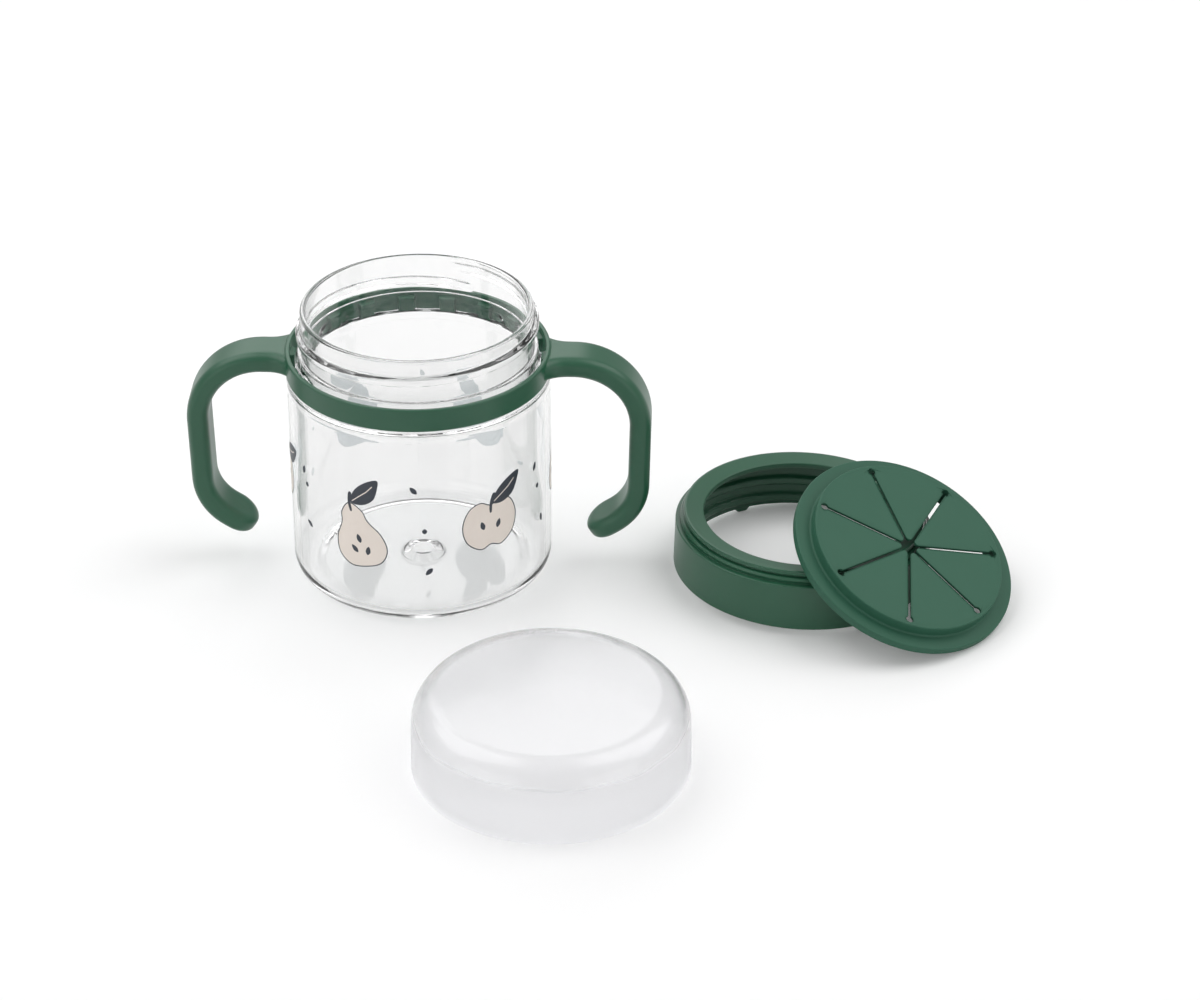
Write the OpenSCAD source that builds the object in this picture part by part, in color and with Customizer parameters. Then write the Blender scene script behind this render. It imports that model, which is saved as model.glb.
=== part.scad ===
// Toddler's snack cup, shown with its pieces set out side by side: a clear cup
// that wears a two-handled ring round its neck, a screw collar, the soft slit
// lid that the collar clamps, and a clear dust cover. Millimetres, +Z up, with
// the origin at the centre of the cup's base and +Y away from the viewer.

/* [Cup] */
// Outside diameter of the cup's body
body_d = 80; // [76:0.5:84]
// Height of the shoulder above the table
shoulder_h = 67; // [60:0.5:75]
// Height of the rim above the shoulder
neck_h = 20.8; // [20.4:0.1:24]
// Thickness of the cup's side wall
cup_wall = 1.8; // [1.4:0.1:2.2]
// Thickness of the cup's floor
cup_floor = 2.5; // [2:0.1:3.5]
// Rise of the screw thread in one turn
thread_lead = 6; // [5.6:0.1:6.4]
// Turns that the cup's thread makes
thread_turns = 1.04; // [0.8:0.02:1.2]

/* [Handle ring] */
// Height of the ring that drops over the neck
ring_h = 7.2; // [6.8:0.1:7.4]
// Number of teeth inside the ring, and of lugs on the neck
tooth_count = 18; // [12:1:20]
// Distance from the cup's axis to the outside of a handle
grip_reach = 70.6; // [66:0.2:76]
// Width of a handle, seen from the side
grip_w = 14.7; // [12:0.1:18]
// Thickness of a handle
grip_t = 6.6; // [5:0.1:7]
// Straight length of a handle, beside the cup
grip_drop = 20.4; // [12:0.2:24]
// Angle that a handle's lower end hooks back
hook_angle = 55.7; // [30:0.1:60]
// Turn of the whole ring on the cup
ring_turn = -1.7; // [-4:0.1:4]

/* [Collar] */
// Height of the collar's plain outer skirt
skirt_h = 15; // [14:0.1:18]
// Diameter of the collar's opening
opening_d = 61.6; // [56:0.2:63]
// Height of the click lugs under the collar
click_h = 1.3; // [0.6:0.1:1.6]

/* [Slit lid] */
// Diameter of the lid's raised plate
plate_d = 61.2; // [58:0.2:62]
// Diameter of the lid's clamping flange
flange_d = 71.2; // [68:0.2:72]
// Rise of the plate above the flange
plate_rise = 3.7; // [3:0.1:4.5]
// Thickness of the flange
flange_t = 2.8; // [2:0.1:3.2]
// Thickness of the skin that the flaps are cut from
skin_t = 0.9; // [0.7:0.05:1.2]
// Width of the slits between the flaps
slit_w = 1.3; // [0.8:0.1:1.6]

/* [Dust cover] */
// Diameter of the cover at its mouth
cover_d = 80; // [78:0.5:82]
// Height of the cover
cover_h = 23.7; // [20:0.1:30]
// Thickness of the cover's wall
cover_wall = 1.25; // [1:0.05:1.8]

/* [Layout] */
// Where the collar lies, to the right
collar_x = 117.1; // [116.4:0.1:130]
// Where the collar lies, away from the viewer
collar_y = -5.9; // [-6:0.1:6]
// Compass angle of the collar's raised side
collar_heading = 207.1; // [204:0.1:210]
// Where the cover stands, to the right
cover_x = 41.2; // [20:0.1:60]
// Where the cover stands, towards the viewer
cover_y = -110.8; // [-130:0.1:-95]

/* [Hidden] */
$fn = 96;

clear_plastic = [0.90, 0.92, 0.93, 0.5];
green_plastic = [0.14, 0.34, 0.23];
green_rubber = [0.13, 0.37, 0.27];

// Cup: a blown body, and a neck with a heavier band at its foot
body_r = body_d / 2;
cup_h = shoulder_h + neck_h;
foot_round = 5.4;
shoulder_round = 0.8;
neck_r = body_r - 4.95;
neck_wall = 1.75;
neck_inner_r = neck_r - neck_wall;
band_r = neck_r + 1.25;
band_h = 7.5;
lip_r = neck_wall / 2;
push_up_r = body_r - 9;
push_up_h = 0.8;
boss_r = 7;
boss_top_r = 4.6;
boss_h = 1.9;

// Screw thread, on the cup's neck and inside the collar
thread_deep = 1.5;
cup_ridge_w = 3.5;
ridge_crest_w = 1.8;
cup_ridge_top = cup_h - 3.7;
cup_ridge_heading = 77;
fade_turns = 0.05;
ring_steps = 60;

// Handle ring: its teeth stand between the lugs on the neck
ring_gap = 0.1;
ring_z = shoulder_h + ring_gap;
ring_wall = 1.4;
tooth_pitch = 360 / tooth_count;
tooth_angle = tooth_pitch * 0.4;
tooth_r = band_r + 0.9;
tooth_h = ring_h - 2.5;
lug_r = tooth_r + 0.15;
lug_h = tooth_h - 0.2;

// Handle: a flat strip that bends down beside the cup and hooks back under
grip_z = ring_z + grip_t / 2 + 0.1;
grip_edge_round = 1.6;
joint_inset = 0.05;
joint_bite = 1;
grip_bend_r = 20.2;
grip_bend_angle = 91.2;
hook_r = 16.3;
hook_run = 1.9;
grip_root = body_r - ring_wall / 2;
grip_bend_x = grip_reach - grip_bend_r - grip_t / 2;
flare_r = 8;

// Collar, in its own frame: the skirt's foot is at z = 0
skirt_r = body_r - 0.6;
collar_bore_r = neck_r + 1.65;
collar_neck_r = skirt_r - 2.5;
collar_h = skirt_h + 3.8;
dish_drop = 0.9;
lip_t = 1.7;
seat_r = flange_d / 2 + 0.1;
seat_top = collar_h - dish_drop - lip_t;
seat_h = flange_t + 0.4;
collar_ridge_w = 3.6;
collar_ridge_top = seat_top - seat_h - 3.2;
collar_ridge_heading = 147;
collar_ridge_turns = 1.25;
click_in_r = collar_bore_r + 0.1;
click_w = 1.4;
click_angle = 6;

// The collar lies on its two click lugs, half a turn apart, and on one edge of its skirt
collar_tilt = atan(click_h / skirt_r);
collar_z = skirt_r * sin(collar_tilt);

// Slit lid, in its own frame: the plate's top is at z = 0
flap_count = 7;
plate_r = plate_d / 2;
flange_r = flange_d / 2;
lid_t = plate_rise + flange_t;
flange_round = 0.7;
cup_of_lid_r = plate_r - 1.3;
slit_end_r = plate_r - 2.25;
slit_heading = 158.2;
keyhole_r = 1.15;
flap_pitch = 360 / flap_count;
hinge_r = slit_end_r * cos(flap_pitch / 2);
knuckle_r = skin_t / 2 - 0.03;
groove_r = skin_t / 2 + 0.1;
knuckle_l = 2 * (slit_end_r * sin(flap_pitch / 2) - keyhole_r) - 0.2;
flap_tip_round = 0.8;
flap_tip_inset = flap_tip_round - 0.03;

// The lid stands on the table and leans on the front of the collar's neck
lid_centre = [collar_x + 31.1, collar_y - 23.35, 21.93];
lid_tilt = 27.4;
lid_heading = -42.1;

// Dust cover
cover_r = cover_d / 2;
cover_draft = 0.6;
cover_round = 9.3;
snap_z = 0.9;
snap_r = 0.55;

// Half outline of a turned slab, with its outer corners rounded
module slab(r, z0, z1, low = 0, high = 0) {
    translate([0, z0 + low]) square([r, z1 - z0 - low - high]);
    if (low > 0) {
        translate([0, z0]) square([r - low, z1 - z0 - high]);
        translate([r - low, z0 + low]) circle(low);
    }
    if (high > 0) {
        translate([0, z0 + low]) square([r - high, z1 - z0 - low]);
        translate([r - high, z1 - high]) circle(high);
    }
}

// One station of a screw ridge: four corners, at an angle and a height
function ridge_station(base_r, crest_r, base_w, crest_w, angle, z) =
    [for (p = [[base_r, -base_w / 2], [crest_r, -crest_w / 2],
               [crest_r, crest_w / 2], [base_r, base_w / 2]])
        [p[0] * cos(angle), p[0] * sin(angle), z + p[1]]];

// Share of its full depth that a ridge has, t turns from its start
function ridge_depth(t, turns) = max(0.1, min(1, t / fade_turns, (turns - t) / fade_turns));

// A ridge that falls by thread_lead in each turn, clockwise from above
module screw_ridge(root_r, crest_r, base_w, heading, top_z, turns) {
    sink = crest_r > root_r ? -0.4 : 0.4;
    steps = ceil(turns * ring_steps);
    points = [for (i = [0:steps])
        let (t = turns * i / steps, depth = ridge_depth(t, turns))
        each ridge_station(root_r + sink, root_r + (crest_r - root_r) * depth,
                           base_w, ridge_crest_w, heading - 360 * t, top_z - thread_lead * t)];
    sides = [for (i = [0:steps - 1], k = [0:3])
        [4 * i + k, 4 * i + (k + 1) % 4, 4 * i + 4 + (k + 1) % 4, 4 * i + 4 + k]];
    triangles = [for (q = sides) each [[q[0], q[1], q[2]], [q[0], q[2], q[3]]]];
    last = 4 * steps;
    ends = [[0, 2, 1], [0, 3, 2], [last, last + 1, last + 2], [last, last + 2, last + 3]];
    all_faces = concat(triangles, ends);
    outward = crest_r > root_r;
    polyhedron(points, outward ? [for (f = all_faces) [f[2], f[1], f[0]]] : all_faces);
}

// The cup

module cup_outside() {
    slab(body_r, 0, shoulder_h, foot_round, shoulder_round);
    slab(band_r, shoulder_h - 1, shoulder_h + band_h, 0, 0.5);
    slab(neck_r, shoulder_h - 1, cup_h - lip_r);
}

module cup_inside() {
    slab(body_r - cup_wall, cup_floor, shoulder_h - 2.1, foot_round - cup_wall, 3);
    slab(neck_inner_r + 1, shoulder_h - 4, shoulder_h + 5, 0, 0.9);
    slab(neck_inner_r, shoulder_h - 4, cup_h + 1);
    polygon([[0, -1], [push_up_r + 1, -1], [push_up_r + 1, 0], [push_up_r, push_up_h], [0, push_up_h]]);
}

// Half outline of the low cone in the middle of the floor, which is hollow from below
module boss(foot_r, top_r, z) {
    polygon([[0, z - 0.1], [foot_r, z - 0.1], [foot_r, z], [top_r, z + boss_h], [0, z + boss_h]]);
}

module neck_lugs() {
    for (i = [0:tooth_count - 1]) {
        rotate(ring_turn + (i + 0.5) * tooth_pitch - tooth_angle / 2)
            rotate_extrude(angle = tooth_angle)
                translate([band_r - 0.3, shoulder_h - 0.3])
                    square([lug_r - band_r + 0.3, lug_h + 0.3]);
    }
}

module cup() {
    color(clear_plastic) {
        rotate_extrude() {
            difference() {
                union() {
                    difference() {
                        cup_outside();
                        cup_inside();
                    }
                    boss(boss_r, boss_top_r, cup_floor);
                }
                boss(boss_r - 1.4, boss_top_r - 1.5, push_up_h);
            }
            translate([neck_r - lip_r, cup_h - lip_r]) circle(lip_r);
        }
        neck_lugs();
        screw_ridge(neck_r, neck_r + thread_deep, cup_ridge_w, cup_ridge_heading,
                    cup_ridge_top, thread_turns);
    }
}

// The ring and its two handles

module grip_section(inset = 0) {
    flat_w = grip_w - 2 * grip_edge_round;
    flat_t = grip_t - 2 * grip_edge_round;
    square([flat_w, grip_t - 2 * inset], center = true);
    square([grip_w - 2 * inset, flat_t], center = true);
    for (x = [-1, 1], y = [-1, 1]) {
        translate([x * flat_w / 2, y * flat_t / 2]) circle(grip_edge_round - inset);
    }
}

// A straight length of handle along +X, with what follows it at its far end.
// It is a hair thinner than the bends, and bites into what it joins.
module grip_run(length) {
    translate([-joint_bite, 0, 0])
        rotate([90, 0, 90]) linear_extrude(length + 2 * joint_bite) grip_section(joint_inset);
    translate([length, 0, 0]) children();
}

// A bend from +X down towards -Z, with what follows it at its far end
module grip_bend(radius, angle) {
    translate([0, 0, -radius]) {
        rotate([90, 0, 0]) rotate([0, 0, 90 - angle])
            rotate_extrude(angle = angle)
                translate([radius, 0]) rotate(90) grip_section();
        rotate([0, angle, 0]) translate([0, 0, radius]) children();
    }
}

// The round end of a handle, like the tip of a spoon
module grip_tip() {
    rotate([0, 0, -90])
        rotate_extrude(angle = 180)
            slab(grip_w / 2, -grip_t / 2, grip_t / 2, grip_edge_round, grip_edge_round);
}

// The handle widens where it meets the ring, with a hollow round on each side
module grip_flare() {
    centre_y = grip_w / 2 + flare_r;
    centre_x = sqrt(pow(body_r + flare_r, 2) - pow(centre_y, 2));
    touch = body_r / (body_r + flare_r);
    start_x = centre_x * touch - 0.3;
    half_w = centre_y * touch - 0.2;
    translate([0, 0, grip_z - grip_t / 2])
        linear_extrude(grip_t)
            difference() {
                translate([start_x, -half_w]) square([centre_x - start_x, 2 * half_w]);
                circle(grip_root);
                translate([centre_x, centre_y]) circle(flare_r);
                translate([centre_x, -centre_y]) circle(flare_r);
            }
}

module handle() {
    grip_flare();
    translate([grip_root + joint_bite, 0, grip_z])
        grip_run(grip_bend_x - grip_root - joint_bite)
            grip_bend(grip_bend_r, grip_bend_angle)
                grip_run(grip_drop)
                    grip_bend(hook_r, hook_angle)
                        grip_run(hook_run)
                            grip_tip();
}

module handle_ring() {
    color(green_plastic) rotate(ring_turn) {
        rotate_extrude() {
            difference() {
                slab(body_r, ring_z, ring_z + ring_h, 0.3, 0.6);
                translate([0, ring_z - 1]) square([body_r - ring_wall, ring_h + 2]);
            }
        }
        for (i = [0:tooth_count - 1]) {
            rotate(i * tooth_pitch - tooth_angle / 2)
                rotate_extrude(angle = tooth_angle)
                    translate([tooth_r, ring_z]) square([body_r - 0.5 - tooth_r, tooth_h]);
        }
        for (side = [0, 180]) {
            rotate(side) handle();
        }
    }
}

// The collar

module collar_outside() {
    slab(skirt_r, 0, skirt_h, 0.5, 0.45);
    slab(skirt_r - 1.7, skirt_h - 1, skirt_h + 0.9);
    translate([skirt_r - 2.1, skirt_h + 1.1]) circle(0.7);
    slab(collar_neck_r - 0.5, skirt_h - 1, collar_h - 0.5);
    translate([collar_neck_r - 0.1, skirt_h + 2.7]) circle(0.5);
    slab(collar_neck_r, collar_h - 0.8, collar_h, 0.2, 0.3);
}

module collar_inside() {
    opening_r = opening_d / 2;
    slab(opening_r, -1, collar_h + 1);
    slab(seat_r, seat_top - seat_h, seat_top);
    slab(collar_bore_r, -1, seat_top - seat_h);
    polygon([[0, collar_h - dish_drop], [opening_r, collar_h - dish_drop],
             [collar_neck_r - 0.6, collar_h], [collar_neck_r - 0.6, collar_h + 1], [0, collar_h + 1]]);
}

// A lug under the collar that clicks between the ring's teeth and the neck
module click_lug() {
    mid_r = click_in_r + click_w / 2;
    rotate(-click_angle / 2)
        rotate_extrude(angle = click_angle)
            translate([click_in_r, -click_h]) square([click_w, click_h + 0.6]);
    for (side = [-1, 1]) {
        rotate(side * click_angle / 2)
            translate([mid_r, 0, -click_h]) cylinder(r = click_w / 2, h = click_h + 0.6);
    }
}

module place_collar() {
    translate([collar_x, collar_y, collar_z])
        rotate([0, 0, collar_heading]) rotate([0, -collar_tilt, 0]) children();
}

module collar() {
    color(green_plastic) place_collar() {
        rotate_extrude() {
            difference() {
                collar_outside();
                collar_inside();
            }
        }
        screw_ridge(collar_bore_r, collar_bore_r - 1.3, collar_ridge_w,
                    collar_ridge_heading - collar_heading, collar_ridge_top, collar_ridge_turns);
        for (side = [-90, 90]) {
            rotate(side) click_lug();
        }
    }
}

// The slit lid: one soft moulding, whose flaps bend along the line between two slits

module place_lid() {
    translate(lid_centre) rotate([0, lid_tilt, lid_heading]) children();
}

module at_flap(number) {
    rotate(slit_heading - (number - 0.5) * flap_pitch) children();
}

module lid_outline() {
    cove = 0.6;
    difference() {
        union() {
            slab(plate_r, -plate_rise - 1, 0, 0, 0.5);
            slab(flange_r, -lid_t, -plate_rise, flange_round, flange_round);
            translate([plate_r - 0.1, -plate_rise - 0.1]) square([cove + 0.1, cove + 0.1]);
        }
        translate([plate_r + cove, -plate_rise + cove]) circle(cove);
        slab(cup_of_lid_r, -lid_t - 1, -skin_t, 0, 0.5);
    }
}

module insert_rim() {
    color(green_rubber) place_lid() difference() {
        rotate_extrude() lid_outline();
        rotate(slit_heading)
            translate([0, 0, -skin_t - 1])
                linear_extrude(skin_t + 2)
                    polygon([for (k = [0:flap_count - 1])
                        slit_end_r * [cos(k * flap_pitch), sin(k * flap_pitch)]]);
        for (number = [1:flap_count]) {
            at_flap(number) {
                translate([hinge_r, 0, -skin_t / 2]) rotate([90, 0, 0])
                    cylinder(r = groove_r, h = knuckle_l + 0.4, center = true);
                rotate(flap_pitch / 2) translate([slit_end_r, 0, -skin_t - 1])
                    cylinder(r = keyhole_r, h = skin_t + 2);
            }
        }
    }
}

// Plan of a flap, pointing from its hinge back to the lid's centre
module flap_plan() {
    half = flap_pitch / 2;
    tip_x = (slit_w / 2 + flap_tip_inset) / sin(half);
    side_x = flap_tip_inset * sin(half);
    side_y = flap_tip_inset * cos(half);
    end_y = hinge_r * tan(half) - slit_w / 2 / cos(half);
    difference() {
        union() {
            polygon([[tip_x - side_x, -side_y], [hinge_r, -end_y], [hinge_r, end_y], [tip_x - side_x, side_y]]);
            translate([tip_x, 0]) circle(flap_tip_round);
        }
        for (side = [-1, 1]) {
            rotate(side * half) translate([slit_end_r, 0]) circle(keyhole_r);
        }
    }
}

module flap(number) {
    color(green_rubber) place_lid() at_flap(number) {
        translate([0, 0, -skin_t]) linear_extrude(skin_t) flap_plan();
        translate([hinge_r, 0, -skin_t / 2]) rotate([90, 0, 0])
            cylinder(r = knuckle_r, h = knuckle_l, center = true);
    }
}

// The dust cover

// Half outline of the cover's dome, drawn in by inset on every side
module dome(inset) {
    top_r = cover_r - cover_draft;
    round_z = cover_h - cover_round;
    polygon([[0, 0], [cover_r - inset, 0], [top_r - inset, round_z], [0, round_z]]);
    slab(top_r - inset, round_z - 1, cover_h - inset, 0, cover_round - inset);
}

module cover() {
    color(clear_plastic) translate([cover_x, cover_y, 0])
        rotate_extrude() {
            difference() {
                dome(0);
                dome(cover_wall);
                translate([0, -1]) square([cover_r - cover_wall, 2]);
            }
            translate([cover_r - cover_wall - 0.4, snap_z]) circle(snap_r);
        }
}

cup();
handle_ring();
collar();
insert_rim();
flap(1);  // flap_1
flap(2);  // flap_2
flap(3);  // flap_3
flap(4);  // flap_4
flap(5);  // flap_5
flap(6);  // flap_6
flap(7);  // flap_7
cover();
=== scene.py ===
# %% [markdown]
# # A toddler's snack cup, set out in its pieces
#
# The real thing is five mouldings: a clear cup, a green ring with two handles that drops over the
# cup's neck, a green screw collar, a soft lid with slits that the collar clamps, and a milky dust cover.
# The construction model holds their sizes and how they move. Here each gets a finer skin and its finish.
# The construction model comes in first, so that every piece below can be fitted to it.

# %% Load the construction model
import cmath
import math

import bmesh
import bpy
import numpy as np
from mathutils import Matrix, Vector


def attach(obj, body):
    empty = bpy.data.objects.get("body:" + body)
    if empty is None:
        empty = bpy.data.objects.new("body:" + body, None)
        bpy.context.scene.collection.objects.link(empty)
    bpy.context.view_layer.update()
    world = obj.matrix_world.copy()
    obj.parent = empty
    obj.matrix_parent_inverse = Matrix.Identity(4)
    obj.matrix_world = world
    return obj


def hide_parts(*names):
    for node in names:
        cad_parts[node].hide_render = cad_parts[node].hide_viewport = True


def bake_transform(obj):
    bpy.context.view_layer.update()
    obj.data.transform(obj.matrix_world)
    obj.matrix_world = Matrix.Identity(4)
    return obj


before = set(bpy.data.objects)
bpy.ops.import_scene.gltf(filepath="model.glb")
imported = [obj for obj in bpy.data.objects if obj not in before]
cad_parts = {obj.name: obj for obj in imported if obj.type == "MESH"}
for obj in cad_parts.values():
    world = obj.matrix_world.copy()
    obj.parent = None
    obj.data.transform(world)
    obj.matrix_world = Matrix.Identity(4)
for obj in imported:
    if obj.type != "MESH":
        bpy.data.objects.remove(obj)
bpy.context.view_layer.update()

# %% [markdown]
# ## The camera
#
# The photograph was taken with a long lens from about a metre away, looking down at 31 degrees. The
# ellipses of the round pieces give the slope, and their shrinking with distance gives the lens. A camera
# can be aimed by a constraint, but a place and two angles say the same and are easier to check.

# %% Set up the camera
CAMERA_PLACE = (0.0549, -0.9322, 0.5795)
CAMERA_SLOPE = math.radians(30.96)
CAMERA_ROLL = math.radians(0.12)
LENS_MM = 105.6


def add(thing):
    """Puts a new object into the scene."""
    bpy.context.scene.collection.objects.link(thing)
    return thing


camera = add(bpy.data.objects.new("camera", bpy.data.cameras.new("camera")))
camera.data.lens = LENS_MM
camera.matrix_world = (
    Matrix.Translation(CAMERA_PLACE)
    @ Matrix.Rotation(math.pi / 2 - CAMERA_SLOPE, 4, "X")
    @ Matrix.Rotation(CAMERA_ROLL, 4, "Z")
)
bpy.context.scene.camera = camera
bpy.context.scene.view_settings.view_transform = "Standard"
print("camera looks down at", round(math.degrees(CAMERA_SLOPE), 2), "degrees")

# %% [markdown]
# ## Shader maths that reads as maths
#
# A finish is a small network of nodes. Wiring each Math node by hand hides the idea, so one small class
# wraps a socket: adding or multiplying two wires makes the Math node for it. Colours don't go through
# Math nodes, which would turn them grey: they have a mix of their own.

# %% Wrap a socket so that it can be used in a sum
class Wire:
    """What comes out of a node's socket."""

    def __init__(self, socket):
        self.socket = socket

    def out(self, name):
        """Another output of the same node."""
        return Wire(self.socket.node.outputs[name])

    def math(self, operation, *values, swapped=False):
        """A Math node of this wire and the values."""
        tree = self.socket.id_data
        made = tree.nodes.new("ShaderNodeMath")
        made.operation = operation
        terms = [self, *values]
        for place, value in enumerate(reversed(terms) if swapped else terms):
            plug(made.inputs[place], value)
        return Wire(made.outputs[0])

    def __add__(self, other):
        return self.math("ADD", other)

    __radd__ = __add__

    def __mul__(self, other):
        return self.math("MULTIPLY", other)

    __rmul__ = __mul__

    def __sub__(self, other):
        return self.math("SUBTRACT", other)

    def __rsub__(self, other):
        return self.math("SUBTRACT", other, swapped=True)

    def clamped(self):
        """This wire, kept between 0 and 1."""
        return self.math("MAXIMUM", 0.0).math("MINIMUM", 1.0)


def plug(socket, value):
    """Links a wire to a socket, or sets the socket to a plain value."""
    if isinstance(value, Wire):
        socket.id_data.links.new(value.socket, socket)
    else:
        socket.default_value = value


# %% [markdown]
# A finish starts empty, and every other node comes from one method: its type, its settings, such as a Mix
# node's kind of data, and what goes into its sockets.

# %% Start a finish, and add nodes to it
class Finish:
    """A material's nodes."""

    def __init__(self, name, world=None):
        self.owner = world or bpy.data.materials.new(name)
        self.owner.use_nodes = True
        self.tree = self.owner.node_tree
        self.tree.nodes.clear()

    def node(self, kind, settings=(), inputs=()):
        """A new node's first output. Inputs are named, or numbered where names repeat."""
        made = self.tree.nodes.new("ShaderNode" + kind)
        for name, value in dict(settings).items():
            setattr(made, name, value)
        for name, value in dict(inputs).items():
            plug(made.inputs[name], value)
        return Wire(made.outputs[0]) if made.outputs else None

    def mix(self, mask, first, second):
        """Colour first where mask is 0, and second where it is 1."""
        made = self.node("Mix", {"data_type": "RGBA"}, {0: mask, 6: first, 7: second})
        return Wire(made.socket.node.outputs[2])

    def cloud(self, size_mm, detail=2.0):
        """Soft blotches of that size on the piece's own coordinates."""
        place = self.node("TexCoord").out("Object")
        return self.node("TexNoise", {}, {"Vector": place, "Scale": 1000 / size_mm, "Detail": detail})

    def relief(self, height, depth_mm, strength):
        """A normal from a height that runs from 0 to 1 over depth_mm."""
        return self.node("Bump", {}, {"Height": height, "Distance": depth_mm / 1000, "Strength": strength})

    def seen_by_lamps_as(self, film_colour, shader):
        """The shader, but a clear film of that colour for the rays that look for a lamp."""
        film = self.node("BsdfTransparent", {}, {"Color": film_colour})
        lamp_ray = self.node("LightPath").out("Is Shadow Ray")
        return self.node("MixShader", {}, {0: lamp_ray, 1: shader, 2: film})

    def show(self, shader):
        """Ends the network at the material's output."""
        self.node("OutputMaterial", {}, {"Surface": shader})
        return self.owner


def rgb(red, green, blue):
    """A colour from its values on a screen, 0 to 255, as the linear values that nodes use."""
    shares = (red / 255, green / 255, blue / 255)
    linear = [v / 12.92 if v < 0.04045 else ((v + 0.055) / 1.055) ** 2.4 for v in shares]
    return (*linear, 1.0)


print("mid green is", [round(v, 3) for v in rgb(60, 100, 80)[:3]])

# %% [markdown]
# ## Clear plastic
#
# The cup is moulded in a hard glass-clear copolyester. Its walls are real walls in the mesh, so light
# bends at both faces and draws the grey and white lines of the neck by itself. What remains is the
# moulding's slight waviness and a faint haze. Cycles would let no lamp shine through glass, so for
# shadow rays the plastic is a faint grey film instead, as thin clear walls look on a table.

# %% Mix the clear plastic
PLASTIC_IOR = 1.49


def clear_plastic():
    finish = Finish("clear_plastic")
    flow = finish.cloud(26)
    haze = finish.cloud(9, 4)
    glass = finish.node(
        "BsdfPrincipled",
        {},
        {
            "Base Color": finish.mix(haze, rgb(247, 247, 247), rgb(244, 244, 244)),
            "Roughness": 0.01 + 0.03 * haze,
            "IOR": PLASTIC_IOR,
            "Transmission Weight": 1.0,
            "Normal": finish.relief(flow, 0.05, 0.35),
        },
    )
    return finish.show(finish.seen_by_lamps_as(rgb(246, 247, 247), glass))


# %% [markdown]
# ## Milky plastic
#
# The dust cover is soft polypropylene. It has no pigment, but it scatters light, so it looks like thin
# milk: pale grey, with soft glints and only a blurred view of what is behind it. Most of the light goes
# through as rough glass and the rest is scattered, and a fine cloud keeps it from being even. The skirt is
# rougher than the top, which was polished in the tool, and its colour is whiter: partly from the frosting,
# and partly painted light that evens out the weaker light on the upright skirt.

# %% Mix the milky plastic
FROST_FROM_MM = 19
FROST_FADE_MM = 8


def milky_plastic():
    finish = Finish("milky_plastic")
    flow = finish.cloud(18, 3)
    grain = finish.cloud(0.6, 2)
    height = finish.node("SeparateXYZ", {}, {0: finish.node("TexCoord").out("Object")}).out("Z")
    low = ((FROST_FROM_MM / 1000 - height) * (1000 / FROST_FADE_MM)).clamped()
    # The skirt's whiter colour is partly frosting and partly painted light on the upright skirt.
    top_colour = finish.mix(flow, rgb(238, 238, 239), rgb(242, 242, 243))
    frosted_and_lit_skirt = finish.mix(flow, rgb(246, 246, 247), rgb(250, 250, 251))
    milk = finish.node(
        "BsdfPrincipled",
        {},
        {
            "Base Color": finish.mix(low, top_colour, frosted_and_lit_skirt),
            "Roughness": 0.18 + 0.08 * flow + 0.22 * low,
            "IOR": PLASTIC_IOR,
            "Transmission Weight": 0.84,
            "Normal": finish.relief(grain, 0.004, 0.5),
        },
    )
    return finish.show(finish.seen_by_lamps_as(rgb(234, 234, 235), milk))


# %% [markdown]
# ## Green plastic and green silicone
#
# The ring and the collar are the same dark green polypropylene, moulded in a finely etched tool: a satin
# sheen, with a grain far smaller than a millimetre. The lid is silicone of nearly the same green. It is
# matter, a little paler, and its grain is coarser. One function mixes both.

# %% Mix the greens
GREEN_IOR = 1.5


def solid_green(name, dark, light, roughness, grain_mm, grain_depth_mm):
    finish = Finish(name)
    flow = finish.cloud(30, 3)
    grain = finish.cloud(grain_mm, 3)
    handled = finish.cloud(7, 4)
    skin = finish.node(
        "BsdfPrincipled",
        {},
        {
            "Base Color": finish.mix(flow, dark, light),
            "Roughness": roughness - 0.03 + 0.04 * handled + 0.02 * grain,
            "IOR": GREEN_IOR,
            "Normal": finish.relief(grain, grain_depth_mm, 0.6),
        },
    )
    return finish.show(skin)


CLEAR = clear_plastic()
MILKY = milky_plastic()
GREEN = solid_green(
    "green_plastic", rgb(30, 80, 57), rgb(33, 86, 61), roughness=0.36, grain_mm=0.30, grain_depth_mm=0.006
)
SILICONE = solid_green(
    "green_silicone", rgb(30, 83, 62), rgb(33, 88, 66), roughness=0.62, grain_mm=0.45, grain_depth_mm=0.012
)
print("finishes:", ", ".join(m.name for m in (CLEAR, MILKY, GREEN, SILICONE)))

# %% [markdown]
# ## Skins from grids
#
# Every piece here is a quilt of grids of points. A turned piece is one grid, whose rows follow its half
# outline and whose columns go round. Where two grids share an edge, welding the doubled points joins
# them, and a row on the axis closes to a point. Millimetres go in, and metres come out.

# %% Make a piece from grids of points
WELD_MM = 0.002
ROUND_CREASE = 100


def quads(grids):
    """The faces between the points of each grid."""
    faces = []
    first = 0
    for grid in grids:
        rows, columns = grid.shape[:2]
        corner = first + np.arange(rows * columns).reshape(rows, columns)
        sides = (corner[:-1, :-1], corner[1:, :-1], corner[1:, 1:], corner[:-1, 1:])
        faces += np.stack(sides, -1).reshape(-1, 4).tolist()
        first += rows * columns
    return faces


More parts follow.
